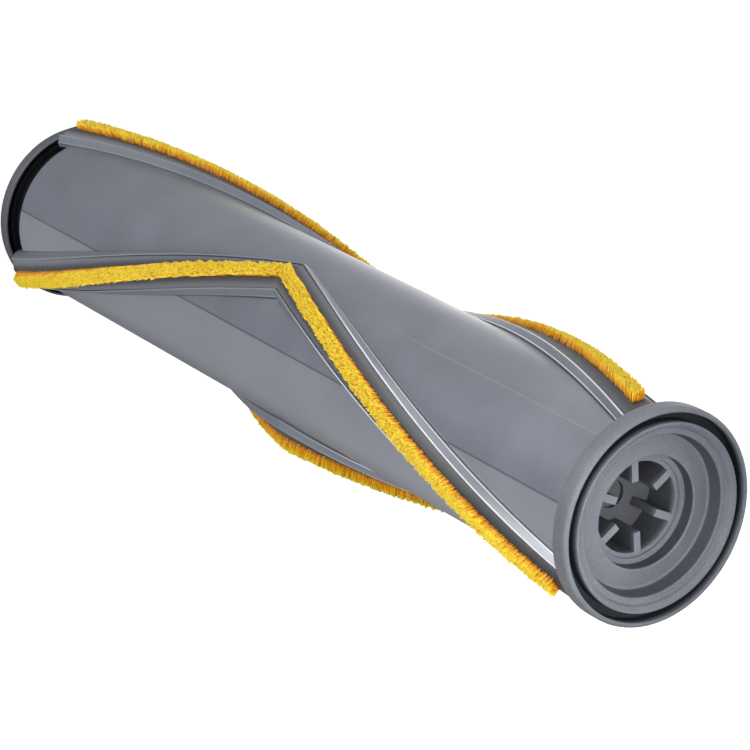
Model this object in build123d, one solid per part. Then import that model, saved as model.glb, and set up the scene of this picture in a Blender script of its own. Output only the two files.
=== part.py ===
from build123d import *
import math
import os

os.makedirs("parts", exist_ok=True)

# Roller brush of a vacuum floor head, in millimetres.
# The roller stands on its idler end: +Z runs along the axis from the idler end to the drive end.

# overall sizes
total_length = 232.3
body_radius = 19.7
tube_wall = 3.2
drive_rim_step = 3.3
drive_rim_thickness = 4.0
idler_rim_step = 1.8
idler_rim_thickness = 3.4

# fits
press_clearance = 0.03
slide_clearance = 0.12
running_clearance = 0.05

# chevron rails and brush strips
strip_count = 3
first_apex_angle = 13.0
arm_sweep = 92.5
rail_height = 2.3
rail_step = 0.7
rail_slope_width = 0.65
lip_width = 0.3
slot_mouth_width = 8.0
slot_undercut = 0.9
slot_depth = 3.3
flange_thickness = 0.6
backing_recess = 0.5
backing_crown = 0.75
backing_shoulder = 0.15
pile_width = 3.4
brush_height = 5.3
strip_end_gap = 0.3
pile_end_gap = 2.5
mitre_gap = 0.1

# drive end face, depths measured from the rim face
rim_edge_break = 0.5
rim_lip_width = 1.15
groove_width = 1.95
groove_depth = 3.2
ring_land_width = 0.5
ring_bevel_width = 0.9
ring_bevel_depth = 0.7
ring_wall_draft = 0.1
ledge_width = 1.35
ledge_depth = 1.36
recess_wall_draft = 0.75
recess_foot_depth = 4.7
pilot_radius = 11.8
pilot_edge_break = 0.25
pilot_mouth_depth = 3.6
pilot_floor_depth = 6.5
drive_seat_wall = 1.5
drive_skirt_depth = 13.0
cap_wall = 1.8

# drive coupling insert
insert_radius = 10.6
insert_front_depth = 7.0
socket_radius = 9.7
socket_depth = 15.0
rib_count = 6
rib_first_angle = -14.0
rib_width = 1.6
rib_tip_radius = 5.5
centre_hole_radius = 3.0
centre_hole_depth = 0.9

# idler end and its ball bearing
bearing_bore_radius = 3.0
bearing_outer_radius = 9.5
bearing_width = 6.0
bearing_recess = 1.0
bearing_edge_break = 0.25
ball_count = 7
ball_radius = 1.75
race_groove_depth = 0.35
shield_seat_step = 0.4
shield_thickness = 0.35
shield_inset = 0.2
shield_gap = 0.15
cage_wall = 0.9
cage_end_gap = 0.1
idler_face_recess = 1.4
idler_rim_skin = 0.6
idler_groove_depth = 1.6
idler_rim_land = 3.2
idler_hub_wall = 2.3
idler_spigot_depth = 12.5
idler_cavity_depth = 12.0

# derived positions along the axis
tube_low = idler_rim_thickness
tube_high = total_length - drive_rim_thickness
apex_height = (tube_low + tube_high) / 2
half_length = tube_high - apex_height
twist_rate = arm_sweep / half_length

# how far cutting shapes run past the solids they cut
overrun = 1.0
deep = 3.0

# derived radii
bore_radius = body_radius - tube_wall
drive_rim_radius = body_radius + drive_rim_step
drive_skirt_radius = body_radius - drive_seat_wall
brush_radius = body_radius + brush_height
idler_rim_radius = body_radius + idler_rim_step
rail_edge_radius = body_radius + rail_step
lip_radius = body_radius + rail_height
slot_floor_radius = lip_radius - slot_depth
lip_under_radius = slot_floor_radius + flange_thickness
backing_edge_radius = lip_radius - backing_recess
backing_top_radius = lip_radius + backing_crown

# a width square to the strip is wider when it is measured around the axis
strip_slope = math.atan(math.radians(twist_rate) * body_radius)
around = 1 / math.cos(strip_slope)


def turned(points):
    profile = make_face(Polyline(*[(r, 0, z) for r, z in points], close=True))
    return revolve(profile, Axis.Z, 360)


def ring(inner, outer, low, high):
    return turned([(inner, low), (outer, low), (outer, high), (inner, high)])


# how far out from the axis a corner lies that is at a radius and a distance to the side
def reach(radius, side):
    return math.sqrt(radius**2 - side**2)


# a twisted bar along one upper arm from low to high
# corners gives its section's edge on one side, as distances out from the axis and around it
def arm_bar(apex_angle, corners, low, high):
    start = math.radians(apex_angle + twist_rate * (low - apex_height))
    out = Vector(math.cos(start), math.sin(start), 0)
    side = Vector(-math.sin(start), math.cos(start), 0)
    lift = Vector(0, 0, low)
    section = [(r, -s) for r, s in corners] + [(r, s) for r, s in reversed(corners) if s > 0]
    outline = make_face(Polyline(*[out * r + side * s + lift for r, s in section], close=True))
    return Solid.extrude_linear_with_rotation(
        outline.face(), (0, 0, low), (0, 0, high - low), twist_rate * (high - low)
    )


apex_angles = [first_apex_angle + 360 / strip_count * i for i in range(strip_count)]
apex_plane = Plane.XY.offset(apex_height)
far_low = apex_height - overrun
far_high = tube_high + overrun

mouth_half = slot_mouth_width / 2 * around
pocket_half = mouth_half + slot_undercut * around
lip_half = mouth_half + lip_width * around
rail_half = lip_half + rail_slope_width * around

# roller tube: the upper half is made, mirrored and joined at the apex plane
upper_half = Pos(0, 0, apex_height) * Cylinder(
    body_radius, half_length, align=(Align.CENTER, Align.CENTER, Align.MIN)
)
rail_section = [
    (bore_radius - overrun, rail_half),
    (reach(rail_edge_radius, rail_half), rail_half),
    (reach(lip_radius, lip_half), lip_half),
]
for angle in apex_angles:
    upper_half += arm_bar(angle, rail_section, apex_height, tube_high)
upper_half -= Pos(0, 0, apex_height) * Cylinder(
    bore_radius, half_length, align=(Align.CENTER, Align.CENTER, Align.MIN)
)
pocket_section = [(bore_radius, pocket_half), (lip_radius, pocket_half)]
mouth_section = [(bore_radius, mouth_half), (lip_radius + deep, mouth_half)]
pocket_ring = ring(slot_floor_radius, lip_under_radius, far_low, far_high)
mouth_ring = ring(lip_under_radius - slide_clearance, lip_radius + 2 * deep, far_low, far_high)
for angle in apex_angles:
    upper_half -= arm_bar(angle, pocket_section, far_low, far_high) & pocket_ring
    upper_half -= arm_bar(angle, mouth_section, far_low, far_high) & mouth_ring
roller_tube = upper_half + mirror(upper_half, about=apex_plane)
roller_tube -= Pos(0, 0, tube_high) * Cylinder(
    drive_skirt_radius,
    2 * (drive_skirt_depth - drive_rim_thickness + slide_clearance),
)
export_step(roller_tube, "parts/roller_tube.step")

# strip backings and bristle piles, one of each for every arm
arm_low = apex_height + mitre_gap / 2
arm_high = tube_high - strip_end_gap
backing_floor_radius = slot_floor_radius + slide_clearance
flange_ring = ring(backing_floor_radius, lip_under_radius - slide_clearance, arm_low, arm_high)
centre_ring = ring(backing_floor_radius, backing_top_radius, arm_low, arm_high)
# the piles are trimmed to one radius and stop short of the rims
pile_ring = ring(backing_top_radius, brush_radius, arm_low, tube_high - pile_end_gap)
flange_half = pocket_half - slide_clearance
centre_half = mouth_half - slide_clearance
pile_half = pile_width / 2 * around
crown_half = pile_half + backing_shoulder * around
# the backing's roof slopes up from its edges to a crown that carries the pile
edge_reach = reach(backing_edge_radius, centre_half)
crown_reach = reach(backing_top_radius, crown_half)
roof_slope = (crown_reach - edge_reach) / (centre_half - crown_half)
flange_section = [(bore_radius, flange_half), (lip_radius, flange_half)]
centre_section = [
    (bore_radius, centre_half),
    (edge_reach, centre_half),
    (crown_reach + roof_slope * crown_half, 0),
]
pile_section = [(bore_radius, pile_half), (brush_radius + deep, pile_half)]
for number, angle in enumerate(apex_angles, start=1):
    flange = arm_bar(angle, flange_section, far_low, far_high) & flange_ring
    centre = arm_bar(angle, centre_section, far_low, far_high) & centre_ring
    backing = flange + centre
    pile = arm_bar(angle, pile_section, far_low, far_high) & pile_ring
    export_step(backing, f"parts/strip_backing_{number}_drive.step")
    export_step(pile, f"parts/bristle_pile_{number}_drive.step")
    export_step(mirror(backing, about=apex_plane), f"parts/strip_backing_{number}_idler.step")
    export_step(mirror(pile, about=apex_plane), f"parts/bristle_pile_{number}_idler.step")

# drive end cap, a turned profile read from the axis outwards and back
top = total_length
groove_outer_radius = drive_rim_radius - rim_lip_width
groove_inner_radius = groove_outer_radius - groove_width
ring_bevel_radius = groove_inner_radius - ring_land_width - ring_bevel_width
ledge_outer_radius = ring_bevel_radius - ring_wall_draft
recess_mouth_radius = ledge_outer_radius - ledge_width
recess_foot_radius = recess_mouth_radius - recess_wall_draft
insert_floor_depth = socket_depth + cap_wall
hub_radius = insert_radius + press_clearance + cap_wall
pilot_hub_radius = pilot_radius + pilot_edge_break + cap_wall
skirt_radius = drive_skirt_radius - press_clearance
skirt_inner_radius = skirt_radius - 0.8 * cap_wall
web_back_depth = recess_foot_depth + cap_wall
cap_profile = [
    (0, -insert_floor_depth),
    (0, -insert_floor_depth - cap_wall),
    (hub_radius, -insert_floor_depth - cap_wall),
    (hub_radius, -pilot_floor_depth - cap_wall),
    (pilot_hub_radius, -pilot_floor_depth - cap_wall),
    (pilot_hub_radius, -web_back_depth),
    (skirt_inner_radius, -web_back_depth),
    (skirt_inner_radius, -drive_skirt_depth),
    (skirt_radius, -drive_skirt_depth),
    (skirt_radius, -drive_rim_thickness),
    (drive_rim_radius, -drive_rim_thickness),
    (drive_rim_radius, -rim_edge_break),
    (drive_rim_radius - rim_edge_break, 0),
    (groove_outer_radius, 0),
    (groove_outer_radius, -groove_depth),
    (groove_inner_radius, -groove_depth),
    (groove_inner_radius, 0),
    (groove_inner_radius - ring_land_width, 0),
    (ring_bevel_radius, -ring_bevel_depth),
    (ledge_outer_radius, -ledge_depth),
    (recess_mouth_radius, -ledge_depth),
    (recess_foot_radius, -recess_foot_depth),
    (pilot_radius + pilot_edge_break, -pilot_mouth_depth),
    (pilot_radius, -pilot_mouth_depth - pilot_edge_break),
    (pilot_radius, -pilot_floor_depth),
    (insert_radius + press_clearance, -pilot_floor_depth),
    (insert_radius + press_clearance, -insert_floor_depth),
]
drive_end_cap = turned([(r, top + z) for r, z in cap_profile])
export_step(drive_end_cap, "parts/drive_end_cap.step")

# drive coupling insert with its ribs
insert_profile = [
    (0, -insert_floor_depth),
    (insert_radius, -insert_floor_depth),
    (insert_radius, -insert_front_depth),
    (socket_radius, -insert_front_depth),
    (socket_radius, -socket_depth),
    (centre_hole_radius, -socket_depth),
    (centre_hole_radius, -socket_depth - centre_hole_depth),
    (0, -socket_depth - centre_hole_depth),
]
drive_coupling_insert = turned([(r, top + z) for r, z in insert_profile])
rib_depth = socket_depth - insert_front_depth
rib_length = (socket_radius + insert_radius) / 2 - rib_tip_radius
for i in range(rib_count):
    rib = Pos(rib_tip_radius, 0, top - socket_depth) * Box(
        rib_length, rib_width, rib_depth, align=(Align.MIN, Align.CENTER, Align.MIN)
    )
    drive_coupling_insert += Rot(0, 0, rib_first_angle + 360 / rib_count * i) * rib
export_step(drive_coupling_insert, "parts/drive_coupling_insert.step")

# the bearing's balls run midway between its bore and its outside
pitch_radius = (bearing_bore_radius + bearing_outer_radius) / 2
outer_land_radius = pitch_radius + ball_radius - race_groove_depth
inner_land_radius = pitch_radius - ball_radius + race_groove_depth
shield_seat_radius = outer_land_radius + shield_seat_step
cage_width = bearing_width - 2 * (shield_inset + shield_thickness + cage_end_gap)

# idler end cap
seat_radius = bearing_outer_radius + press_clearance
idler_hub_radius = seat_radius + idler_hub_wall
bearing_low = bearing_recess
bearing_high = bearing_low + bearing_width
cavity_radius = outer_land_radius
spigot_radius = bore_radius - press_clearance
dish_radius = idler_rim_radius - idler_rim_land
idler_profile = [
    (0, idler_cavity_depth),
    (cavity_radius, idler_cavity_depth),
    (cavity_radius, bearing_high),
    (seat_radius, bearing_high),
    (seat_radius, rim_edge_break),
    (seat_radius + rim_edge_break, 0),
    (idler_hub_radius - rim_edge_break, 0),
    (idler_hub_radius, rim_edge_break),
    (idler_hub_radius, idler_face_recess),
    (dish_radius - rim_edge_break, idler_face_recess),
    (dish_radius, 0),
    (idler_rim_radius - rim_edge_break, 0),
    (idler_rim_radius, rim_edge_break),
    (idler_rim_radius, idler_rim_thickness),
    (idler_rim_radius - idler_rim_skin, idler_rim_thickness),
    (idler_rim_radius - idler_rim_skin, idler_rim_thickness - idler_groove_depth),
    (body_radius, idler_rim_thickness - idler_groove_depth),
    (body_radius, idler_rim_thickness),
    (spigot_radius, idler_rim_thickness),
    (spigot_radius, idler_spigot_depth),
    (spigot_radius - cap_wall, idler_spigot_depth),
    (spigot_radius - cap_wall, idler_face_recess + cap_wall),
    (idler_hub_radius, idler_face_recess + cap_wall),
    (idler_hub_radius, idler_cavity_depth + cap_wall),
    (0, idler_cavity_depth + cap_wall),
]
idler_end_cap = turned(idler_profile)
export_step(idler_end_cap, "parts/idler_end_cap.step")

# ball bearing in the idler end cap
bearing_middle = (bearing_low + bearing_high) / 2
race_groove_radius = ball_radius + running_clearance
race_groove = Pos(0, 0, bearing_middle) * Torus(pitch_radius, race_groove_radius)
edge = bearing_edge_break
shield_low = bearing_low + shield_inset
shield_high = bearing_high - shield_inset
outer_profile = [
    (bearing_outer_radius - edge, bearing_low),
    (bearing_outer_radius, bearing_low + edge),
    (bearing_outer_radius, bearing_high - edge),
    (bearing_outer_radius - edge, bearing_high),
    (shield_seat_radius, bearing_high),
    (shield_seat_radius, shield_high - shield_thickness),
    (outer_land_radius, shield_high - shield_thickness),
    (outer_land_radius, shield_low + shield_thickness),
    (shield_seat_radius, shield_low + shield_thickness),
    (shield_seat_radius, bearing_low),
]
bearing_outer_race = turned(outer_profile) - race_groove
export_step(bearing_outer_race, "parts/bearing_outer_race.step")

inner_profile = [
    (bearing_bore_radius + edge, bearing_low),
    (inner_land_radius, bearing_low),
    (inner_land_radius, bearing_high),
    (bearing_bore_radius + edge, bearing_high),
    (bearing_bore_radius, bearing_high - edge),
    (bearing_bore_radius, bearing_low + edge),
]
bearing_inner_race = turned(inner_profile) - race_groove
export_step(bearing_inner_race, "parts/bearing_inner_race.step")

ball_places = [
    Rot(0, 0, 360 / ball_count * i) * Pos(pitch_radius, 0, bearing_middle) for i in range(ball_count)
]
bearing_balls = Compound(children=[place * Sphere(ball_radius) for place in ball_places])
export_step(bearing_balls, "parts/bearing_balls.step")

cage_low = bearing_middle - cage_width / 2
bearing_cage = turned(
    [
        (pitch_radius - cage_wall / 2, cage_low),
        (pitch_radius + cage_wall / 2, cage_low),
        (pitch_radius + cage_wall / 2, cage_low + cage_width),
        (pitch_radius - cage_wall / 2, cage_low + cage_width),
    ]
)
for place in ball_places:
    bearing_cage -= place * Rot(0, 90, 0) * Cylinder(ball_radius + running_clearance, 4 * cage_wall)
export_step(bearing_cage, "parts/bearing_cage.step")

for name, low in (("outer", shield_low), ("inner", shield_high - shield_thickness)):
    shield = turned(
        [
            (inner_land_radius + shield_gap, low),
            (shield_seat_radius - press_clearance, low),
            (shield_seat_radius - press_clearance, low + shield_thickness),
            (inner_land_radius + shield_gap, low + shield_thickness),
        ]
    )
    export_step(shield, f"parts/bearing_shield_{name}.step")
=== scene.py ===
import bmesh
import bpy
import numpy as np
from mathutils import Matrix, Vector


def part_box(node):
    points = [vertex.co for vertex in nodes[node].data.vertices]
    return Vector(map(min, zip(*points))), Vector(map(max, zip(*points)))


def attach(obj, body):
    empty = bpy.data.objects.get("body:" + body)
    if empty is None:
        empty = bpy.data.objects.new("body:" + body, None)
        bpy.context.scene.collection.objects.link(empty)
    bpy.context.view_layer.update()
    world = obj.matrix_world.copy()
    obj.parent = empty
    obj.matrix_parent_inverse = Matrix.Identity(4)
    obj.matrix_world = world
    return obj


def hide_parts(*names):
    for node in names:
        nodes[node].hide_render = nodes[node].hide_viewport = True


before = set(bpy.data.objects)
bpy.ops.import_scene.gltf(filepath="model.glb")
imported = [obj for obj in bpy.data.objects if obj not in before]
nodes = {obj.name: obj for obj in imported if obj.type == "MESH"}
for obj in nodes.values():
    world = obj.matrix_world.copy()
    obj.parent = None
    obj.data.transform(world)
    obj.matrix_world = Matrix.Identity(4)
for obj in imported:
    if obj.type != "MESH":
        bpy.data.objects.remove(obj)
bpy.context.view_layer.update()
mm = 0.001
print("frame loaded with", len(nodes), "nodes")

tubeLow, tubeHigh = (corner.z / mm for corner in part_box("roller_tube"))
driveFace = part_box("drive_end_cap")[1].z / mm
apexHeight = (tubeLow + tubeHigh) / 2
halfLength = (tubeHigh - tubeLow) / 2


# mesh helpers

def gridFaces(rows, columns, closeRows=False, closeColumns=False):
    # quads between neighbouring rows and columns of a numbered grid
    row, column = np.meshgrid(
        np.arange(rows if closeRows else rows - 1),
        np.arange(columns if closeColumns else columns - 1),
        indexing="ij",
    )
    nextRow = (row + 1) % rows
    nextColumn = (column + 1) % columns
    corners = [
        row * columns + column,
        row * columns + nextColumn,
        nextRow * columns + nextColumn,
        nextRow * columns + column,
    ]
    return np.stack(corners, -1).reshape(-1, 4)


def makePiece(name, points, faceSets, uv=None, sharpAngle=None, merge=False):
    # points in millimetres; faceSets holds arrays of triangles or quads
    mesh = bpy.data.meshes.new(name)
    mesh.vertices.add(len(points))
    mesh.vertices.foreach_set("co", (np.asarray(points) * mm).astype(np.float32).ravel())
    loops = np.concatenate([faces.ravel() for faces in faceSets])
    sizes = np.concatenate([np.full(len(faces), faces.shape[1]) for faces in faceSets])
    mesh.loops.add(len(loops))
    mesh.loops.foreach_set("vertex_index", loops.astype(np.int32))
    mesh.polygons.add(len(sizes))
    mesh.polygons.foreach_set("loop_start", (np.cumsum(sizes) - sizes).astype(np.int32))
    mesh.update(calc_edges=True)
    if uv is not None:
        layer = mesh.uv_layers.new(name="fibreMap")
        layer.data.foreach_set("uv", uv[loops].astype(np.float32).ravel())
    if merge:
        shell = bmesh.new()
        shell.from_mesh(mesh)
        bmesh.ops.remove_doubles(shell, verts=shell.verts, dist=1e-7)
        bmesh.ops.recalc_face_normals(shell, faces=shell.faces)
        shell.to_mesh(mesh)
        shell.free()
    mesh.polygons.foreach_set("use_smooth", np.ones(len(mesh.polygons), bool))
    if sharpAngle is not None:
        mesh.set_sharp_from_angle(angle=np.radians(sharpAngle))
    mesh.update()
    piece = bpy.data.objects.new(name, mesh)
    bpy.context.scene.collection.objects.link(piece)
    return piece


def finishPiece(piece, material, slot, *standsFor):
    piece.data.materials.append(material)
    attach(piece, "roller")
    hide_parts(*standsFor)


# material helpers

def newMaterial(name):
    material = bpy.data.materials.new(name)
    material.use_nodes = True
    tree = material.node_tree
    return material, tree, tree.nodes["Principled BSDF"]


def addNode(tree, kind, inputs=None, **settings):
    node = tree.nodes.new(kind)
    for key, value in settings.items():
        setattr(node, key, value)
    for key, value in (inputs or {}).items():
        if isinstance(value, bpy.types.NodeSocket):
            tree.links.new(value, node.inputs[key])
        else:
            node.inputs[key].default_value = value
    return node


def objectPoint(tree, turn=0.0):
    # object coordinates, turned about the roller's axis by some degrees
    coordinates = addNode(tree, "ShaderNodeTexCoord")
    mapping = addNode(tree, "ShaderNodeMapping", {"Vector": coordinates.outputs["Object"]})
    mapping.inputs["Rotation"].default_value = (0.0, 0.0, np.radians(turn))
    return mapping.outputs["Vector"]


def noise(tree, point, scale, detail=3.0, roughness=0.5):
    values = {"Vector": point, "Scale": scale, "Detail": detail, "Roughness": roughness}
    return addNode(tree, "ShaderNodeTexNoise", values).outputs["Fac"]


def maths(tree, operation, first, second=0.0, third=0.0):
    node = addNode(tree, "ShaderNodeMath", {0: first, 1: second, 2: third}, operation=operation)
    return node.outputs[0]


def ranged(tree, value, low, high, toLow, toHigh, smooth=False):
    values = {"Value": value, "From Min": low, "From Max": high, "To Min": toLow, "To Max": toHigh}
    kind = "SMOOTHSTEP" if smooth else "LINEAR"
    return addNode(tree, "ShaderNodeMapRange", values, interpolation_type=kind).outputs[0]


def mixed(tree, share, first, second, kind="MIX"):
    node = tree.nodes.new("ShaderNodeMix")
    node.data_type = "RGBA"
    node.blend_type = kind
    for number, value in ((0, share), (6, first), (7, second)):
        if isinstance(value, bpy.types.NodeSocket):
            tree.links.new(value, node.inputs[number])
        else:
            node.inputs[number].default_value = value
    return node.outputs[2]


def bumped(tree, height, strength, distance):
    values = {"Height": height, "Strength": strength, "Distance": distance}
    return addNode(tree, "ShaderNodeBump", values).outputs["Normal"]


def colour(r, g, b):
    return (r, g, b, 1.0)


def times(tree, *factors):
    # the product of several values
    product = factors[0]
    for factor in factors[1:]:
        product = maths(tree, "MULTIPLY", product, factor)
    return product


def isAbove(tree, value, limit):
    return maths(tree, "GREATER_THAN", value, limit)


def isBelow(tree, value, limit):
    return maths(tree, "LESS_THAN", value, limit)


def fromAxis(tree, point):
    # a point's distance from the roller's axis, and its height
    parts = addNode(tree, "ShaderNodeSeparateXYZ", {0: point})
    flat = addNode(tree, "ShaderNodeCombineXYZ", {"X": parts.outputs["X"], "Y": parts.outputs["Y"]})
    radius = addNode(tree, "ShaderNodeVectorMath", {0: flat.outputs[0]}, operation="LENGTH")
    return radius.outputs["Value"], parts.outputs["Z"]


def greyed(tree, tint, level):
    # a colour times one grey level
    grey = addNode(tree, "ShaderNodeCombineColor", {0: level, 1: level, 2: level})
    return mixed(tree, 1.0, tint, grey.outputs[0], "MULTIPLY")


noiseSpan = (0.3, 0.7)    # where most values of a noise lie


# moulded plastic of the tube: lengths in metres, angles in degrees round the axis,
# and groups of four are a value's low and high end and the strength at each

tubeFinish = {
    "light": colour(0.158, 0.173, 0.208),
    "dark": colour(0.129, 0.142, 0.173),
    "roughness": (0.29, 0.4),
    "specular": (0.5, 0.05),                # open surface, deep shade
    "cloudScale": 55.0,
    "grainScale": 1900.0,
    "grainHeight": 0.12,
    "bump": (0.35, 0.00005),
    "bodyRadius": 0.01995,                  # the lines stay on the body, below the rails
    "partingAngle": 176.6,
    "partingWidth": 0.00036,
    "partingShare": 0.8,
    "partingTint": colour(0.05, 0.055, 0.07),
    "paleRise": (0.0, 0.01, 0.7, 1.0),      # the paler side of the parting line, painted as light on a facet
    "paleFall": (0.0125, 0.0185, 1.0, 0.1),
    "paleLightShare": 0.46,
    "paleLightTint": colour(0.3, 0.315, 0.35),
    "faintLineAngle": 130.6,
    "faintLineWidth": 0.0003,
    "faintLineShare": 0.22,
    "faintLineRise": (0.142, 0.17, 0.0, 1.0),
    "faintLineTint": colour(0.34, 0.36, 0.4),
    "neckRadius": 0.0193,                   # the shaded neck beside the idler rim
    "neckHeight": 0.0072,
    "neckShare": 0.97,
    "neckTint": colour(0.006, 0.007, 0.01),
    "edgeRadius": 0.02043,                  # the rails' outer edges, and their lips, where a highlight is painted
    "edgeBand": (0.00005, 0.00015, 1.0, 0.0),
    "lipBand": (0.02178, 0.02188, 0.0, 1.0),
    "edgeHighlightGrowth": (apexHeight * mm, (apexHeight + 40) * mm, 0.12, 0.8),
    "edgeHighlightTint": colour(0.8, 0.82, 0.86),
    "wallRise": (0.01975, 0.01983, 0.0, 1.0),
    "wallFall": (0.0202, 0.0203, 1.0, 0.0),
    "wallGrowth": ((apexHeight - 30) * mm, apexHeight * mm, 0.4, 0.75),
    "wallMatte": 0.6,
    "wallTint": colour(0.03, 0.033, 0.042),
}


def tubePlastic():
    s = tubeFinish
    material, tree, shader = newMaterial("tubePlastic")
    point = objectPoint(tree)
    radius, height = fromAxis(tree, point)
    cloud = noise(tree, point, s["cloudScale"], 4.0, 0.6)
    grain = noise(tree, point, s["grainScale"], 2.0)
    tint = mixed(tree, ranged(tree, cloud, *noiseSpan, 0.0, 1.0), s["dark"], s["light"])

    # the mould's parting line: a fine dark step, with a paler side painted as light falling on a facet
    # beside it
    turned = addNode(tree, "ShaderNodeSeparateXYZ", {0: objectPoint(tree, -s["partingAngle"])})
    side = turned.outputs["Y"]
    onBody = isBelow(tree, radius, s["bodyRadius"])
    onFront = times(tree, onBody, isAbove(tree, turned.outputs["X"], 0.0))
    line = ranged(tree, maths(tree, "ABSOLUTE", side), 0.0, s["partingWidth"], 1.0, 0.0, True)
    line = times(tree, line, onFront)
    pale = times(tree, ranged(tree, side, *s["paleRise"]), ranged(tree, side, *s["paleFall"]))
    pale = times(tree, pale, isAbove(tree, side, 0.0), onFront)
    tint = mixed(tree, times(tree, pale, s["paleLightShare"]), tint, s["paleLightTint"])
    tint = mixed(tree, times(tree, line, s["partingShare"]), tint, s["partingTint"])

    # a second, faint lighter line along the body towards the drive end
    second = addNode(tree, "ShaderNodeSeparateXYZ", {0: objectPoint(tree, -s["faintLineAngle"])})
    away = maths(tree, "ABSOLUTE", second.outputs["Y"])
    faint = ranged(tree, away, 0.0, s["faintLineWidth"], s["faintLineShare"], 0.0, True)
    faint = times(tree, faint, isAbove(tree, second.outputs["X"], 0.0), onBody)
    faint = times(tree, faint, ranged(tree, height, *s["faintLineRise"], True))
    tint = mixed(tree, faint, tint, s["faintLineTint"])

    # the neck beside the idler rim lies in deep shade
    neck = times(tree, isBelow(tree, radius, s["neckRadius"]), isBelow(tree, height, s["neckHeight"]))
    tint = mixed(tree, times(tree, neck, s["neckShare"]), tint, s["neckTint"])

    # the rails' edges and lips are painted with a bright highlight, most of all towards the drive end
    fromEdge = maths(tree, "ABSOLUTE", maths(tree, "SUBTRACT", radius, s["edgeRadius"]))
    outerEdge = ranged(tree, fromEdge, *s["edgeBand"], True)
    edges = maths(tree, "MAXIMUM", outerEdge, ranged(tree, radius, *s["lipBand"], True))
    edges = times(tree, edges, ranged(tree, height, *s["edgeHighlightGrowth"], True))
    tint = mixed(tree, edges, tint, s["edgeHighlightTint"])

    # the rails' low side walls are shaded, more so towards the drive end
    wall = ranged(tree, radius, *s["wallRise"], True)
    wall = times(tree, wall, ranged(tree, radius, *s["wallFall"], True))
    wallShare = times(tree, wall, ranged(tree, height, *s["wallGrowth"], True))
    tint = mixed(tree, wallShare, tint, s["wallTint"])

    tree.links.new(tint, shader.inputs["Base Color"])
    tree.links.new(ranged(tree, cloud, *noiseSpan, *s["roughness"]), shader.inputs["Roughness"])
    matte = maths(tree, "MAXIMUM", neck, times(tree, wall, s["wallMatte"]))
    tree.links.new(ranged(tree, matte, 0.0, 1.0, *s["specular"]), shader.inputs["Specular IOR Level"])
    relief = maths(tree, "SUBTRACT", times(tree, grain, s["grainHeight"]), line)
    tree.links.new(bumped(tree, relief, *s["bump"]), shader.inputs["Normal"])
    return material


# matte plastic of the end caps and the drive insert: radii, heights and depths from the
# drive face in metres, a depth being negative, and shades as a share of the plain colour

capFinish = {
    "light": colour(0.172, 0.184, 0.212),
    "dark": colour(0.137, 0.148, 0.174),
    "roughness": 0.58,
    "insertLight": colour(0.19, 0.2, 0.23),
    "insertDark": colour(0.15, 0.16, 0.185),
    "insertRoughness": 0.5,
    "roughnessSpread": (-0.05, 0.06),
    "specular": (0.42, 0.05),               # open surface, deep shade
    "cloudScale": 85.0,
    "grainScale": 2600.0,
    "speckle": (0.35, 0.65, 0.88, 1.1),
    "bump": (0.22, 0.00006),
    "idlerHeight": 0.05,                    # what lies lower belongs to the idler end
    "idlerShade": 0.5,
    "grooveMiddle": 0.020875,
    "grooveEdge": (0.00099, 0.00109, 1.0, 0.0),
    "grooveDepth": (-0.0016, -0.0003, 1.0, 0.0),
    "grooveFloor": -0.0038,
    "grooveShade": 0.2,
    "recessDepth": (-0.0018, -0.0014, 1.0, 0.0),
    "recessInner": (0.0162, 0.01645, 0.0, 1.0),
    "recessOuter": (0.0171, 0.0172, 1.0, 0.0),
    "pilotDepth": (-0.0041, -0.0038, 1.0, 0.0),
    "pilotInner": (0.0117, 0.01175, 0.0, 1.0),
    "pilotOuter": (0.0121, 0.0122, 1.0, 0.0),
    "wallShade": 0.33,
    "backHeight": 0.0017,                   # the back of the idler rim
    "backInner": 0.0165,
    "backOuter": 0.02098,
    "backShade": 0.06,
    "rimOutside": (0.0226, 0.0229, 0.0, 1.0),
    "outsideShade": 0.74,
    "socketRadius": 0.0098,
    "socketHeight": 0.1,
    "socketDepth": (-0.0084, -0.0071, 0.5, 1.2),
}


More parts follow.
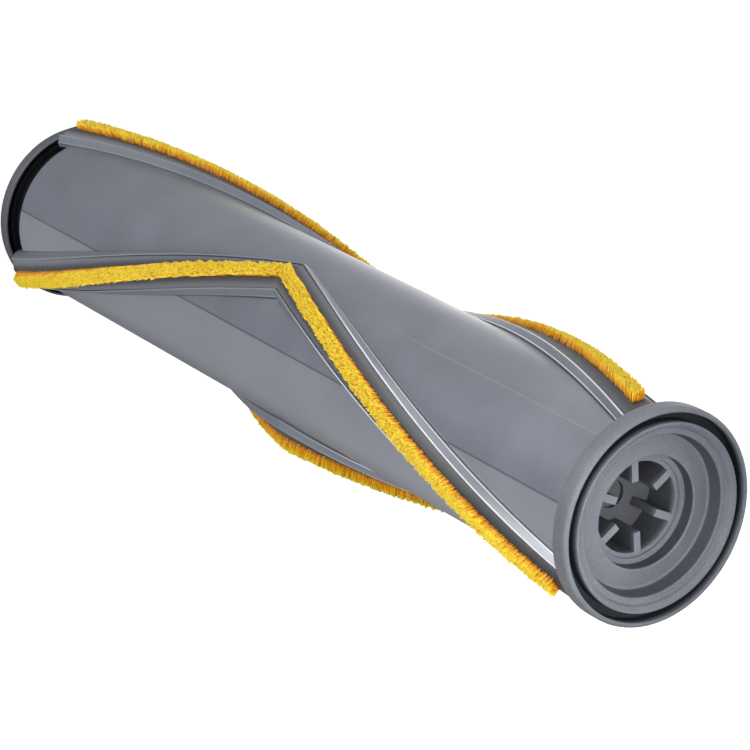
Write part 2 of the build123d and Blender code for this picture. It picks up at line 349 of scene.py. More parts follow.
def capPlastic(name, light, dark, roughness):
    s = capFinish
    material, tree, shader = newMaterial(name)
    point = objectPoint(tree)
    radius, height = fromAxis(tree, point)
    depth = maths(tree, "SUBTRACT", height, driveFace * mm)
    cloud = noise(tree, point, s["cloudScale"], 4.0, 0.65)
    grain = noise(tree, point, s["grainScale"], 2.0, 0.6)
    tint = mixed(tree, ranged(tree, cloud, *noiseSpan, 0.0, 1.0), dark, light)
    tint = greyed(tree, tint, ranged(tree, grain, *s["speckle"]))

    # the whole idler end is painted darker, as shade
    idler = isBelow(tree, height, s["idlerHeight"])
    drive = maths(tree, "SUBTRACT", 1.0, idler)
    shade = ranged(tree, idler, 0.0, 1.0, 1.0, s["idlerShade"])

    # the drive face's groove is painted darker, as shade
    fromGroove = maths(tree, "ABSOLUTE", maths(tree, "SUBTRACT", radius, s["grooveMiddle"]))
    groove = ranged(tree, fromGroove, *s["grooveEdge"])
    groove = times(tree, groove, ranged(tree, depth, *s["grooveDepth"]))
    groove = times(tree, groove, isAbove(tree, depth, s["grooveFloor"]))
    shade = times(tree, shade, ranged(tree, groove, 0.0, 1.0, 1.0, s["grooveShade"]))

    # the steep walls of the recess and the pilot are shaded
    recessWall = ranged(tree, depth, *s["recessDepth"], True)
    recessWall = times(tree, recessWall, ranged(tree, radius, *s["recessInner"], True))
    recessWall = times(tree, recessWall, ranged(tree, radius, *s["recessOuter"]))
    pilotWall = ranged(tree, depth, *s["pilotDepth"], True)
    pilotWall = times(tree, pilotWall, ranged(tree, radius, *s["pilotInner"]))
    pilotWall = times(tree, pilotWall, ranged(tree, radius, *s["pilotOuter"]))
    walls = times(tree, maths(tree, "MAXIMUM", recessWall, pilotWall), drive)
    shade = times(tree, shade, ranged(tree, walls, 0.0, 1.0, 1.0, s["wallShade"]))

    # the back of the idler rim, inside its edge, is painted nearly black, as deep shade
    black = times(tree, idler, isAbove(tree, height, s["backHeight"]))
    black = times(tree, black, isBelow(tree, radius, s["backOuter"]), isAbove(tree, radius, s["backInner"]))
    shade = times(tree, shade, ranged(tree, black, 0.0, 1.0, 1.0, s["backShade"]))

    # the drive rim's outside is painted darker than its face, as shade
    outside = times(tree, ranged(tree, radius, *s["rimOutside"]), drive)
    shade = times(tree, shade, ranged(tree, outside, 0.0, 1.0, 1.0, s["outsideShade"]))

    # inside the coupling socket the colour is painted darker with depth, as shade, and lighter near the
    # mouth, as light on the rib fronts
    socket = times(tree, isBelow(tree, radius, s["socketRadius"]), isAbove(tree, height, s["socketHeight"]))
    change = maths(tree, "SUBTRACT", ranged(tree, depth, *s["socketDepth"]), 1.0)
    shade = times(tree, shade, maths(tree, "MULTIPLY_ADD", socket, change, 1.0))

    tree.links.new(greyed(tree, tint, shade), shader.inputs["Base Color"])
    smoothest, roughest = (roughness + step for step in s["roughnessSpread"])
    tree.links.new(ranged(tree, cloud, *noiseSpan, smoothest, roughest), shader.inputs["Roughness"])
    matte = maths(tree, "MAXIMUM", black, groove)
    tree.links.new(ranged(tree, matte, 0.0, 1.0, *s["specular"]), shader.inputs["Specular IOR Level"])
    tree.links.new(bumped(tree, grain, *s["bump"]), shader.inputs["Normal"])
    return material


# dark extruded backing of the brush strips

backingFinish = {
    "idlerTint": colour(0.19, 0.202, 0.232),
    "driveTint": colour(0.072, 0.076, 0.088),
    "heights": (0.02, 0.2, 0.0, 1.0),
    "grainScale": 900.0,
    "fleckShare": 0.2,
    "fleckTint": colour(0.15, 0.158, 0.18),
    "nearPile": (0.0217, 0.02265, 0.0, 0.75),    # painted shade where the roof rises to the pile
    "pileShadeTint": colour(0.016, 0.016, 0.018),
    "roughness": (0.5, 0.6),
    "specular": 0.3,
    "bump": (0.2, 0.00005),
}


def backingPlastic():
    s = backingFinish
    material, tree, shader = newMaterial("backingPlastic")
    point = objectPoint(tree)
    radius, height = fromAxis(tree, point)
    grain = noise(tree, point, s["grainScale"], 3.0)
    tint = mixed(tree, ranged(tree, height, *s["heights"]), s["idlerTint"], s["driveTint"])
    fleck = ranged(tree, grain, *noiseSpan, 0.0, s["fleckShare"])
    tint = mixed(tree, fleck, tint, s["fleckTint"])
    # painted shade on the carrier's roof next to the pile
    tint = mixed(tree, ranged(tree, radius, *s["nearPile"], True), tint, s["pileShadeTint"])
    tree.links.new(tint, shader.inputs["Base Color"])
    tree.links.new(ranged(tree, grain, *noiseSpan, *s["roughness"]), shader.inputs["Roughness"])
    shader.inputs["Specular IOR Level"].default_value = s["specular"]
    tree.links.new(bumped(tree, grain, *s["bump"]), shader.inputs["Normal"])
    return material


# golden nylon fibres: the map's first value differs for each fibre, the second runs from root to tip

fibreFinish = {
    # the root and middle colours are painted shade deep in the pile
    "root": colour(0.2, 0.06, 0.003),
    "middle": colour(0.87, 0.37, 0.004),
    "tip": colour(1.0, 0.8, 0.036),
    "pale": colour(1.0, 0.86, 0.1),
    "deep": colour(0.62, 0.25, 0.004),
    "rootToMiddle": (0.05, 0.45, 0.0, 1.0),
    "middleToTip": (0.58, 0.95, 0.0, 1.0),
    "paleFibres": (0.7, 1.0, 0.0, 0.5),
    "deepFibres": (0.1, 0.45, 0.8, 0.0),
    "roughness": (0.36, 0.5),
    "specular": 0.3,
}


def nylonFibre():
    s = fibreFinish
    material, tree, shader = newMaterial("nylonFibre")
    place = addNode(tree, "ShaderNodeUVMap", uv_map="fibreMap")
    split = addNode(tree, "ShaderNodeSeparateXYZ", {0: place.outputs[0]})
    own, along = split.outputs["X"], split.outputs["Y"]
    # darker towards the root: painted shade deep in the pile
    tint = mixed(tree, ranged(tree, along, *s["rootToMiddle"]), s["root"], s["middle"])
    tint = mixed(tree, ranged(tree, along, *s["middleToTip"]), tint, s["tip"])
    tint = mixed(tree, ranged(tree, own, *s["paleFibres"]), tint, s["pale"])
    tint = mixed(tree, ranged(tree, own, *s["deepFibres"]), tint, s["deep"])
    tree.links.new(tint, shader.inputs["Base Color"])
    tree.links.new(ranged(tree, own, 0.0, 1.0, *s["roughness"]), shader.inputs["Roughness"])
    shader.inputs["Specular IOR Level"].default_value = s["specular"]
    return material


# bearing steel, with fine turning marks round the axis

steelFinish = {
    "race": (0.62, 0.62, 0.64),
    "raceRoughness": 0.26,
    "shield": (0.52, 0.52, 0.54),
    "shieldRoughness": 0.36,
    "roughnessSpread": (-0.06, 0.08),
    "markScale": 9000.0,
    "stainScale": 260.0,
    "stainLevel": 0.86,
    "bump": (0.15, 0.00002),
}


def turnedSteel(name, tone, roughness):
    s = steelFinish
    material, tree, shader = newMaterial(name)
    point = objectPoint(tree)
    radius, height = fromAxis(tree, point)
    rings = addNode(tree, "ShaderNodeCombineXYZ", {"X": radius, "Y": height})
    marks = noise(tree, rings.outputs[0], s["markScale"], 2.0)
    stain = noise(tree, point, s["stainScale"], 3.0)
    tint = mixed(tree, stain, colour(*(s["stainLevel"] * part for part in tone)), colour(*tone))
    tree.links.new(tint, shader.inputs["Base Color"])
    shader.inputs["Metallic"].default_value = 1.0
    smoothest, roughest = (roughness + step for step in s["roughnessSpread"])
    tree.links.new(ranged(tree, marks, *noiseSpan, smoothest, roughest), shader.inputs["Roughness"])
    tree.links.new(bumped(tree, marks, *s["bump"]), shader.inputs["Normal"])
    return material


tubeMaterial = tubePlastic()
capMaterial = capPlastic("capPlastic", capFinish["light"], capFinish["dark"], capFinish["roughness"])
insertMaterial = capPlastic(
    "insertPlastic", capFinish["insertLight"], capFinish["insertDark"], capFinish["insertRoughness"]
)
backingMaterial = backingPlastic()
fibreMaterial = nylonFibre()
raceMaterial = turnedSteel("raceSteel", steelFinish["race"], steelFinish["raceRoughness"])
shieldMaterial = turnedSteel("shieldSteel", steelFinish["shield"], steelFinish["shieldRoughness"])
print("materials made")


# sections with rounded corners

cornerSteps = 4
cornerShare = 0.45    # the longest part of a side that a corner takes


def roundedProfile(corners):
    # each corner becomes a quadratic curve that touches both of its sides
    corners = np.array(corners, float)
    place = corners[:, :2]
    before = np.roll(place, 1, 0) - place
    after = np.roll(place, -1, 0) - place
    reachBefore = np.minimum(corners[:, 2], cornerShare * np.linalg.norm(before, axis=1))[:, None]
    reachAfter = np.minimum(corners[:, 2], cornerShare * np.linalg.norm(after, axis=1))[:, None]
    start = place + before / np.linalg.norm(before, axis=1)[:, None] * reachBefore
    stop = place + after / np.linalg.norm(after, axis=1)[:, None] * reachAfter
    t = np.linspace(0, 1, cornerSteps)[None, :, None]
    curve = (1 - t) ** 2 * start[:, None] + 2 * t * (1 - t) * place[:, None] + t**2 * stop[:, None]
    return curve.reshape(-1, 2)


def reach(radius, side):
    # how far out a corner lies that is at a radius and a distance to the side
    return np.sqrt(radius**2 - side**2)


def halfSection(corners):
    # a rounded line from the middle of a strip to its side, as radius and angle round the axis
    place = roundedProfile(corners)[cornerSteps - 1:1 - cornerSteps]
    return np.hypot(place[:, 0], place[:, 1]), np.arctan2(place[:, 1], place[:, 0])


# chevron rails: sizes in millimetres, angles in degrees

chevron = {
    "count": 3,
    "firstApex": 13.0,
    "sweep": 92.5,
    "bodyRadius": 19.7,
    "boreRadius": 16.5,
    "lipRadius": 22.0,
    "edgeRadius": 20.4,
    "slotFloor": 18.7,
    "lipUnder": 19.3,
    "mouthWidth": 8.0,
    "undercut": 0.9,
    "lipWidth": 0.3,
    "slopeWidth": 0.65,
    "skirtRadius": 18.2,
    "skirtDepth": 9.12,
    "footAngle": 0.04,      # how far a rail's section runs on over the body, in radians
    "footGap": 0.008,
    "rowsPerHalf": 120,
    "rowCrowding": 1.15,    # rows lie closer together near the apex
    "bodyColumns": 26,
    "neckRadius": 18.3,
    "neckHigh": 6.9,
    "neckStep": 0.05,
}
stripSlope = np.arctan(np.radians(chevron["sweep"] / halfLength) * chevron["bodyRadius"])
around = 1 / np.cos(stripSlope)    # widths square to a strip, measured round the axis
mouthHalf = chevron["mouthWidth"] / 2 * around
pocketHalf = mouthHalf + chevron["undercut"] * around


def stripAngle(number, share):
    first = chevron["firstApex"] + 360 / chevron["count"] * number
    return np.radians(first + chevron["sweep"] * share)


def railSection():
    # from the slot's middle over the lip and its slope to the body
    s = chevron
    lip = mouthHalf + s["lipWidth"] * around
    side = lip + s["slopeWidth"] * around
    footAngle = np.arcsin(side / s["bodyRadius"]) + s["footAngle"]
    return halfSection(
        [
            (s["slotFloor"], 0.0, 0.0),
            (reach(s["slotFloor"], pocketHalf / 2), pocketHalf / 2, 0.6),
            (reach(s["slotFloor"], pocketHalf), pocketHalf, 0.1),
            (reach(s["lipUnder"], pocketHalf), pocketHalf, 0.1),
            (reach(s["lipUnder"], mouthHalf), mouthHalf, 0.08),
            (reach(s["lipRadius"], lip), mouthHalf, 0.14),
            (reach(s["lipRadius"], lip), lip, 0.2),
            (reach(s["edgeRadius"], side), side, 0.3),
            (reach(s["bodyRadius"], side), side, 0.3),
            (s["bodyRadius"] * np.cos(footAngle), s["bodyRadius"] * np.sin(footAngle), 0.0),
        ]
    )


def makeTube():
    # each row is the roller's section at one height; its columns follow the rails round the axis
    s = chevron
    steps = np.linspace(0, 1, s["rowsPerHalf"] + 1) ** s["rowCrowding"]
    heights = np.concatenate([apexHeight - halfLength * steps[::-1], apexHeight + halfLength * steps[1:]])
    neckRows = s["neckHigh"] + s["neckStep"] * np.array([-1, 1])
    heights = np.sort(np.concatenate([heights, neckRows]))
    share = np.abs(heights - apexHeight)[:, None] / halfLength
    radius, offset = railSection()
    foot = offset[-1] + s["footGap"]
    gap = np.linspace(foot, 2 * np.pi / s["count"] - foot, s["bodyColumns"])
    inNeck = (heights < s["neckHigh"])[:, None]
    bodyRadii = np.where(inNeck, s["neckRadius"], s["bodyRadius"]) + 0 * gap
    atFoot = np.arange(len(radius))[None, :] >= len(radius) - 1 - cornerSteps
    railRadii = np.where(inNeck & atFoot, s["neckRadius"], radius[None, :])
    ringRadii = []
    ringAngles = []
    for number in range(s["count"]):
        centre = stripAngle(number, share)
        ringRadii += [railRadii[:, :0:-1], railRadii, bodyRadii]
        ringAngles += [centre - offset[:0:-1], centre + offset, centre + gap]
    angles = np.concatenate(ringAngles, 1)
    radii = np.concatenate(ringRadii, 1)
    # the ends turn in to the drive cap's seat and the bore, and meet again at the idler end
    inner = [(s["skirtRadius"], tubeHigh, -1), (s["skirtRadius"], tubeHigh - s["skirtDepth"], -1)]
    inner += [(s["boreRadius"], tubeHigh - s["skirtDepth"], -1), (s["boreRadius"], tubeLow, 0)]
    allRadii = np.concatenate([radii] + [np.full((1, radii.shape[1]), r) for r, z, row in inner])
    allAngles = np.concatenate([angles] + [angles[row][None] for r, z, row in inner])
    allHeights = np.concatenate([heights, [z for r, z, row in inner]])[:, None] + 0 * allRadii
    points = np.stack([allRadii * np.cos(allAngles), allRadii * np.sin(allAngles), allHeights], -1)
    faces = gridFaces(*allRadii.shape, closeRows=True, closeColumns=True)
    return makePiece("roller_tube_shell", points.reshape(-1, 3), [faces], sharpAngle=50)


tubePiece = makeTube()
finishPiece(tubePiece, tubeMaterial, "tube_plastic", "roller_tube")
print("tube shell made,", len(tubePiece.data.polygons), "faces")


# turned end caps: profiles in millimetres as radius, height and edge rounding

capMesh = {"segments": 200}


def makeTurned(name, corners):
    # the rounded profile is carried round the axis
    profile = roundedProfile(corners)
    angle = np.linspace(0, 2 * np.pi, capMesh["segments"], endpoint=False)[:, None]
    radius = np.maximum(profile[None, :, 0], 0.0)
    points = np.stack(
        [radius * np.cos(angle), radius * np.sin(angle), profile[None, :, 1] + 0 * angle], -1
    )
    faces = gridFaces(len(angle), len(profile), closeRows=True, closeColumns=True)
    return makePiece(name, points.reshape(-1, 3), [faces], sharpAngle=40, merge=True)


driveCap = {
    "profile": [    # radius, depth below the rim face, edge
        (0.0, -16.8, 0.0),
        (0.0, -18.6, 0.0),
        (12.43, -18.6, 0.3),
        (12.43, -8.3, 0.3),
        (13.85, -8.3, 0.3),
        (13.85, -6.5, 0.3),
        (16.73, -6.5, 0.3),
        (16.73, -13.0, 0.2),
        (18.17, -13.0, 0.4),
        (18.17, -4.0, 0.2),
        (23.0, -4.0, 0.35),
        (23.0, -0.5, 0.45),
        (22.5, 0.0, 0.45),
        (21.85, 0.0, 0.25),
        (21.85, -3.2, 0.3),
        (19.9, -3.2, 0.3),
        (19.9, 0.0, 0.25),
        (19.4, 0.0, 0.25),
        (18.5, -0.7, 0.3),
        (18.4, -1.36, 0.25),
        (17.05, -1.36, 0.35),
        (16.3, -4.7, 0.6),
        (12.05, -3.6, 0.3),
        (11.8, -3.85, 0.3),
        (11.8, -6.5, 0.2),
        (10.63, -6.5, 0.1),
        (10.63, -16.8, 0.1),
    ],
}
capPiece = makeTurned("drive_cap_turned", [(r, driveFace + z, e) for r, z, e in driveCap["profile"]])
finishPiece(capPiece, capMaterial, "cap_plastic", "drive_end_cap")

idlerCap = {
    "profile": [    # radius, height, edge
        (0.0, 12.0, 0.0),
        (7.65, 12.0, 0.2),
        (7.65, 7.0, 0.1),
        (9.53, 7.0, 0.1),
        (9.53, 0.5, 0.2),
        (10.03, 0.0, 0.2),
        (11.33, 0.0, 0.3),
        (11.83, 0.5, 0.3),
        (11.83, 1.4, 0.35),
        (17.8, 1.4, 0.35),
        (18.3, 0.0, 0.35),
        (21.0, 0.0, 0.35),
        (21.5, 0.5, 0.35),
        (21.5, 3.4, 0.2),
        (20.9, 3.4, 0.15),
        (20.9, 1.8, 0.2),
        (19.7, 1.8, 0.2),
        (19.7, 3.4, 0.1),
        (16.47, 3.4, 0.2),
        (16.47, 12.5, 0.4),
        (14.67, 12.5, 0.3),
        (14.67, 3.2, 0.3),
        (11.83, 3.2, 0.3),
        (11.83, 13.8, 0.3),
        (0.0, 13.8, 0.0),
    ],
}
idlerPiece = makeTurned("idler_cap_turned", idlerCap["profile"])
finishPiece(idlerPiece, capMaterial, "cap_plastic", "idler_end_cap")
print("end caps turned")


# strip carriers and their piles

def stripPoint(number, direction, distance, across, radius):
    # a point of one arm: distance along the axis from the apex, across the strip, out from the axis
    angle = stripAngle(number, distance / halfLength) + np.arcsin(across / radius)
    height = apexHeight + direction * distance
    return np.stack([radius * np.cos(angle), radius * np.sin(angle), height + 0 * angle], -1)


carrier = {
    "clearance": 0.05,
    "edgeRadius": 21.6,
    "crownRadius": 22.75,
    "crownHalf": 1.85,
    "mitreGap": 0.05,
    "endGap": 0.3,
    "rows": 90,
}


def makeCarrier(number, direction, name):
    # a flanged section with a sloping roof, carried along the arm
    s = carrier
    centre = mouthHalf - s["clearance"]
    flange = pocketHalf - s["clearance"]
    low = chevron["slotFloor"] + s["clearance"]
    high = chevron["lipUnder"] - s["clearance"]
    crown = s["crownHalf"] * around
    radius, angle = halfSection(
        [
            (low, 0.0, 0.0),
            (reach(low, flange / 2), flange / 2, 0.6),
            (reach(low, flange), flange, 0.08),
            (reach(high, flange), flange, 0.08),
            (reach(high, centre), centre, 0.08),
            (reach(s["edgeRadius"], centre), centre, 0.15),
            (reach(s["crownRadius"], crown), crown, 0.25),
            (s["crownRadius"], 0.0, 0.0),
        ]
    )
    half = len(radius)
    ring = np.concatenate([radius, radius[-2:0:-1]])
    turn = np.concatenate([angle, -angle[-2:0:-1]])
    distance = np.linspace(s["mitreGap"], halfLength - s["endGap"], s["rows"])[:, None]
    across = (ring * np.sin(turn))[None, :] + 0 * distance
    points = stripPoint(number, direction, distance + 0 * across, across, ring[None, :] + 0 * across)
    sides = gridFaces(s["rows"], len(ring), closeColumns=True)
    step = np.arange(1, half - 2)
    other = len(ring) - step
    endQuads = np.stack([step, step + 1, other - 1, other], -1)
    endTips = np.array([[0, 1, len(ring) - 1], [half - 2, half - 1, half]])
    last = (s["rows"] - 1) * len(ring)
    quads = np.concatenate([sides, endQuads, endQuads + last])
    tips = np.concatenate([endTips, endTips + last])
    return makePiece(name, points.reshape(-1, 3), [quads, tips], sharpAngle=50, merge=True)


pile = {
    "width": 3.3,
    "rootRadius": 22.6,
    "brushRadius": (24.9, 24.85, 25.5),    # each strip is trimmed a little differently
    "endGap": 2.5,
    "mitreGap": 0.05,
    "tuftPitch": 0.52,
    "tuftRows": 7,
    "tuftFibres": 10,
    "tuftJitter": 0.13,
    "rowJitter": 0.7,       # share of that jitter across the strip
    "tuftLean": 0.13,
    "idlerLean": 0.7,       # tips of the idler arms lean round the axis
    "rootSpread": 0.1,
    "tipSpread": 0.13,
    "overhang": 0.25,       # how far tips reach past the end
    "thickness": 0.085,     # radius of a fibre
    "thickRange": (0.8, 1.2),
    "taper": (1.0, 0.7),    # share of the thickness at the root and the tip
    "crown": 0.35,          # how much shorter the outer fibres are
    "trim": 0.16,           # uneven heights of the tufts, and of single fibres
    "fibreTrim": 0.11,
    "overTrim": 0.25,       # no tip stands higher than this above the brush radius
    "tuftTone": 0.35,       # how much of a fibre's tone is its tuft's, and how much its own
    "fibreTone": 0.65,
    "coreWidth": 2.6,
    "coreDrop": 1.0,
    "coreEnd": 0.2,
    "coreRows": 120,
    "coreFlat": 0.6,        # share of the width that is flat on top
    "coreShoulder": 0.85,
    "coreTone": 0.5,
    "coreLight": 0.45,
    "seed": 11,
}


def makePile(number, direction, name):
    s = pile
    random = np.random.default_rng(s["seed"] + 10 * number + (1 if direction > 0 else 0))
    length = halfLength - s["endGap"]
    brush = s["brushRadius"][number]
    # tufts stand in uneven rows, each with its own lean and height
    columns = int(length / s["tuftPitch"])
    column, row = np.meshgrid(np.arange(columns), np.arange(s["tuftRows"]), indexing="ij")
    tufts = column.size
    tuftAlong = (column.ravel() + 0.5 + 0.5 * (row.ravel() % 2)) * length / (columns + 0.5)
    tuftAlong = tuftAlong + random.normal(0, s["tuftJitter"], tufts)
    tuftPlace = (row.ravel() + 0.5) / s["tuftRows"] - 0.5
    tuftAcross = tuftPlace * s["width"] * around
    tuftAcross = tuftAcross + random.normal(0, s["rowJitter"] * s["tuftJitter"], tufts)
    lean = random.normal(0, s["tuftLean"], (tufts, 2))
    trim = random.normal(0, s["trim"], tufts)
    own = np.repeat(np.arange(tufts), s["tuftFibres"])
    count = len(own)
    rootAlong = tuftAlong[own] + random.normal(0, s["rootSpread"], count)
    rootAlong = np.clip(rootAlong, s["mitreGap"], length)
    rootAcross = tuftAcross[own] + random.normal(0, s["rootSpread"], count)
    limit = s["width"] / 2 * around
    rootAcross = np.clip(rootAcross, -limit, limit)
    tipAlong = rootAlong + lean[own, 0] + random.normal(0, s["tipSpread"], count)
    tipAlong = np.clip(tipAlong, 0.0, length + s["overhang"])
    tipAcross = rootAcross + lean[own, 1] + random.normal(0, s["tipSpread"], count)
    tipAcross = tipAcross + (s["idlerLean"] if direction < 0 else 0.0)
    edge = (tuftAcross[own] / limit) ** 2
    tipRadius = brush - s["crown"] * edge + trim[own] + random.normal(0, s["fibreTrim"], count)
    tipRadius = np.minimum(tipRadius, brush + s["overTrim"])
    # every fibre is a three-sided rod from its root to its tip
    levels = np.array([0.0, 1.0])
    shares = levels[None, :]
    along = rootAlong[:, None] + (tipAlong - rootAlong)[:, None] * shares
    across = rootAcross[:, None] + (tipAcross - rootAcross)[:, None] * shares
    radius = s["rootRadius"] + (tipRadius - s["rootRadius"])[:, None] * shares
    thick = s["thickness"] * random.uniform(*s["thickRange"], (count, 1)) * np.array([s["taper"]])
    turn = random.uniform(0, 2 * np.pi, (count, 1, 1)) + np.radians([0, 120, 240])[None, None, :]
    sideways = across[:, :, None] + thick[:, :, None] * np.cos(turn)
    lengthways = np.maximum(along[:, :, None] + thick[:, :, None] * np.sin(turn), 0.0)
    points = stripPoint(number, direction, lengthways, sideways, radius[:, :, None] + 0 * turn)
    base = np.arange(count)[:, None] * 6
    quads = np.concatenate([base + np.array([[i, (i + 1) % 3, 3 + (i + 1) % 3, 3 + i]]) for i in range(3)])
    tips = base + np.array([[3, 4, 5]])
    tone = random.uniform(0, 1, tufts)[own] * s["tuftTone"]
    tone = tone + random.uniform(0, 1, count) * s["fibreTone"]
    uv = np.stack(
        [
            np.broadcast_to(tone[:, None, None], (count, 2, 3)),
            np.broadcast_to(levels[None, :, None], (count, 2, 3)),
        ],
        -1,
    ).reshape(-1, 2)
    if direction < 0:    # the mirrored arm's faces are turned the right way out
        quads = quads[:, ::-1]
        tips = tips[:, ::-1]
    # a low core fills the pile's middle: a flat-topped section carried along the arm, in the root and
    # middle colours painted as the shade deep in the pile
    steps = np.linspace(0.0, length - s["coreEnd"], s["coreRows"])[:, None]
    half = s["coreWidth"] / 2 * around
    flat = s["coreFlat"] * half
    shoulder = s["coreShoulder"]
    coreAcross = np.array([-half, -half, -flat, flat, half, half])[None, :] + 0 * steps
    coreShare = np.array([0.0, shoulder, 1.0, 1.0, shoulder, 0.0])[None, :] + 0 * steps
    coreHeight = brush - s["coreDrop"] - s["rootRadius"]
    coreRadius = s["rootRadius"] + coreHeight * coreShare
    core = stripPoint(number, direction, steps + 0 * coreRadius, coreAcross, coreRadius)
    coreFaces = gridFaces(len(steps), 6, closeColumns=True) + len(uv)
    caps = np.array([[0, 1, 4, 5], [1, 2, 3, 4]])
    lastCaps = caps[:, ::-1] + 6 * (len(steps) - 1)
    coreFaces = np.concatenate([coreFaces[:, ::-1], caps[:, ::-1] + len(uv), lastCaps[:, ::-1] + len(uv)])
    if direction < 0:
        coreFaces = coreFaces[:, ::-1]
    coreMap = np.stack([s["coreTone"] + 0 * coreShare, s["coreLight"] * coreShare], -1).reshape(-1, 2)
    points = np.concatenate([points.reshape(-1, 3), core.reshape(-1, 3)])
    return makePiece(name, points, [quads, tips, coreFaces], uv=np.concatenate([uv, coreMap]))


for number in range(chevron["count"]):
    for direction, end in ((1, "drive"), (-1, "idler")):
        arm = f"{number + 1}_{end}"
        carrierPiece = makeCarrier(number, direction, f"strip_carrier_{arm}")
        finishPiece(carrierPiece, backingMaterial, "strip_backing", f"strip_backing_{arm}")
        pilePiece = makePile(number, direction, f"bristle_fibres_{arm}")
        finishPiece(pilePiece, fibreMaterial, "bristle_fibre", f"bristle_pile_{arm}")
print("strips made,", len(pilePiece.data.polygons), "faces to a pile")


# finishes of the pieces that keep their own mesh

finishes = {
    "drive_coupling_insert": insertMaterial,
    "bearing_outer_race": raceMaterial,
    "bearing_inner_race": raceMaterial,
    "bearing_balls": raceMaterial,
    "bearing_cage": shieldMaterial,
    "bearing_shield": shieldMaterial,
}
for name, node in nodes.items():
    for start, material in finishes.items():
        if name.startswith(start):
            node.data.materials.clear()
            node.data.materials.append(material)
print("finishes set")


# camera at the photograph's viewing angle

view = {
    "eye": (-434.47, 178.24, 707.99),
    "target": (-24.8, 8.86, 166.25),
    "up": (0.0, 0.954435, -0.298418),
    "lens": 163.2,
    "sensor": 36.0,
    "clip": (0.01, 50.0),    # metres
}


def aim(thing, eye, target, up):
    # the thing's own -Z looks at the target, with up on top
    eye, target, up = (Vector(value) * mm for value in (eye, target, up))
    back = (eye - target).normalized()
    right = up.cross(back).normalized()
    top = back.cross(right)
    turn = Matrix((right, top, back)).transposed().to_4x4()
    thing.matrix_world = Matrix.Translation(eye) @ turn


cameraData = bpy.data.cameras.new("photoCamera")
cameraData.lens = view["lens"]
cameraData.sensor_width = view["sensor"]
cameraData.clip_start, cameraData.clip_end = view["clip"]
camera = bpy.data.objects.new("photoCamera", cameraData)
bpy.context.scene.collection.objects.link(camera)
aim(camera, view["eye"], view["target"], view["up"])
bpy.context.scene.camera = camera


# soft studio light

lamps = {    # place and target in millimetres, size in metres, power in watts
    "overheadSoftbox": {"eye": (-60, 760, 300), "size": 0.7, "power": 2.2},
    "frontSoftbox": {"eye": (-700, 10, 660), "size": 0.7, "power": 4.1},
    "sideSoftbox": {"eye": (-700, -300, 330), "size": 0.6, "power": 2.0},
    "backSoftbox": {"eye": (760, -160, 200), "size": 0.6, "power": 3.0},
    "driveFill": {"eye": (-60, 60, 1000), "size": 0.4, "power": 0.5},
    "faceSpot": {
        "eye": (-40, 40, 1000),
        "target": (-17, -3, 232),
        "size": 0.015,
        "power": 20.0,
        "cone": 6.4,    # degrees
    },
    "railGlint": {"eye": (-440, 250, 50), "size": 0.3, "power": 5.0, "glossOnly": True},
    "edgeGlint": {"eye": (0, 265, 50), "size": 0.2, "power": 0.25, "glossOnly": True},
}
lampTarget = (0, 0, 150)
lampUp = (0, 0.3, 1)
for name, lamp in lamps.items():
    light = bpy.data.lights.new(name, "SPOT" if "cone" in lamp else "AREA")
    if "cone" in lamp:    # a soft-edged pool of light
        light.spot_size = np.radians(lamp["cone"])
        light.spot_blend = 1.0
        light.shadow_soft_size = lamp["size"]
    else:
        light.size = lamp["size"]
    light.energy = lamp["power"]
    lampObject = bpy.data.objects.new(name, light)
    lampObject.visible_camera = False
    lampObject.visible_diffuse = not lamp.get("glossOnly", False)
    bpy.context.scene.collection.objects.link(lampObject)
    aim(lampObject, lamp["eye"], lamp.get("target", lampTarget), lampUp)


def rayShare(tree, *kinds):
    # 1 for the named kinds of ray
    path = addNode(tree, "ShaderNodeLightPath")
    share = path.outputs[kinds[0]]
    for kind in kinds[1:]:
        share = maths(tree, "MAXIMUM", share, path.outputs[kind])
    return share


worldLook = {    # from and to a direction's Y, and the light at each
    "diffuse": (-0.8, 0.8, 0.13, 0.49),
    "glossy": (-0.1, 0.6, 0.18, 1.1),
    "backdrop": 1.0,
}
white = colour(1.0, 1.0, 1.0)
world = bpy.data.worlds.new("studio")
bpy.context.scene.world = world
world.use_nodes = True
worldTree = world.node_tree
ambient = worldTree.nodes["Background"]
ambient.inputs["Color"].default_value = white
heading = addNode(worldTree, "ShaderNodeTexCoord")
towards = addNode(worldTree, "ShaderNodeSeparateXYZ", {0: heading.outputs["Generated"]})
diffuseLight = ranged(worldTree, towards.outputs["Y"], *worldLook["diffuse"])
glossyLight = ranged(worldTree, towards.outputs["Y"], *worldLook["glossy"], True)
mirrorShare = rayShare(worldTree, "Is Glossy Ray")
change = maths(worldTree, "SUBTRACT", glossyLight, diffuseLight)
strength = maths(worldTree, "MULTIPLY_ADD", mirrorShare, change, diffuseLight)
worldTree.links.new(strength, ambient.inputs["Strength"])
plain = {"Color": white, "Strength": worldLook["backdrop"]}
backdrop = addNode(worldTree, "ShaderNodeBackground", plain)
seen = rayShare(worldTree, "Is Camera Ray", "Is Transmission Ray")
worldMix = addNode(worldTree, "ShaderNodeMixShader", {0: seen})
worldTree.links.new(ambient.outputs[0], worldMix.inputs[1])
worldTree.links.new(backdrop.outputs[0], worldMix.inputs[2])
worldTree.links.new(worldMix.outputs[0], worldTree.nodes["World Output"].inputs["Surface"])


# a flat ring round the roller's foot, clear from below; in mirror rays it is painted with bright and dark
# parts and glows there though it is no lamp, a painted reflection

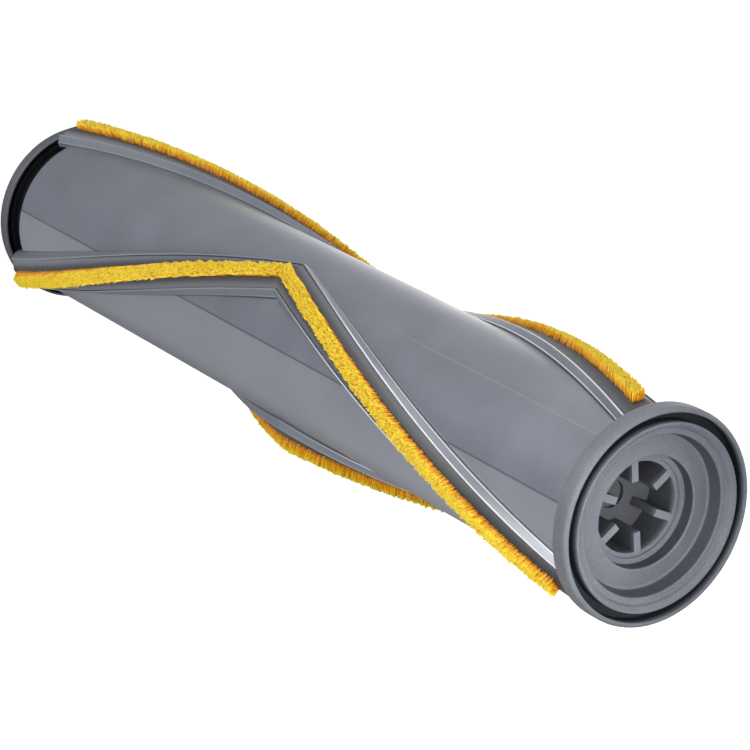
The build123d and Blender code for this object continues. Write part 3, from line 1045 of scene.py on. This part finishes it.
floorLook = {
    "size": 4000.0,
    "foot": 20.9,       # the floor stops under the idler rim
    "segments": 96,
    "albedo": 0.8,
    "mirrored": colour(0.1, 0.1, 0.11),
    "roughness": 0.9,
    "lift": 0.62,
    "behind": (-0.02, 0.12, 0.15, 0.7),     # from and to a place's Y in metres, and the glow at each
    "ahead": (-0.22, -0.1, 0.5, 0.0),
    "far": (0.24, 0.42, 0.0, 2.2),
    "rimCentre": (0.004, 0.019),            # the glow that the roller's outline mirrors turns about here
    "rimAngles": (-8, 47),
    "rimStart": -35,
    "rim": 2.05,
}


def makeFloor():
    s = floorLook
    turn = np.linspace(0, 2 * np.pi, s["segments"], endpoint=False)[None, :]
    edge = np.array([[s["size"]], [s["foot"]]]) + 0 * turn
    points = np.stack([edge * np.cos(turn), edge * np.sin(turn), 0 * edge], -1)
    faces = gridFaces(2, s["segments"], closeColumns=True)
    return makePiece("studio_floor", points.reshape(-1, 3), [faces])


def paleFloor():
    s = floorLook
    material, tree, shader = newMaterial("paleFloor")
    place = addNode(tree, "ShaderNodeSeparateXYZ", {0: objectPoint(tree)})
    x, y = place.outputs["X"], place.outputs["Y"]
    mirrored = rayShare(tree, "Is Glossy Ray")
    plain = rayShare(tree, "Is Camera Ray", "Is Transmission Ray")
    tint = mixed(tree, mirrored, colour(s["albedo"], s["albedo"], s["albedo"]), s["mirrored"])
    tree.links.new(tint, shader.inputs["Base Color"])

    # the painted glow in mirror rays falls off with the bearing about the rim's centre
    outwards = maths(tree, "SUBTRACT", x, s["rimCentre"][0])
    sideways = maths(tree, "SUBTRACT", y, s["rimCentre"][1])
    turn = maths(tree, "ARCTAN2", sideways, outwards)
    rimGlow = ranged(tree, turn, *np.radians(s["rimAngles"]), s["rim"], 0.0)
    rimGlow = times(tree, rimGlow, isAbove(tree, turn, np.radians(s["rimStart"])))
    brightest = maths(tree, "MAXIMUM", rimGlow, ranged(tree, y, *s["far"], True))
    glow = maths(tree, "ADD", ranged(tree, y, *s["behind"], True), ranged(tree, y, *s["ahead"], True))
    glow = maths(tree, "ADD", glow, brightest)
    lift = maths(tree, "ADD", times(tree, plain, s["lift"]), times(tree, mirrored, glow))
    tree.links.new(lift, shader.inputs["Emission Strength"])
    shader.inputs["Emission Color"].default_value = white
    shader.inputs["Roughness"].default_value = s["roughness"]
    shader.inputs["Specular IOR Level"].default_value = 0.0

    underside = addNode(tree, "ShaderNodeNewGeometry").outputs["Backfacing"]
    clear = addNode(tree, "ShaderNodeBsdfTransparent").outputs[0]
    both = addNode(tree, "ShaderNodeMixShader", {0: underside, 1: shader.outputs[0], 2: clear})
    tree.links.new(both.outputs[0], tree.nodes["Material Output"].inputs["Surface"])
    return material


floor = makeFloor()
floor.data.materials.append(paleFloor())

bpy.context.scene.view_settings.view_transform = "Standard"
print("camera and light set")
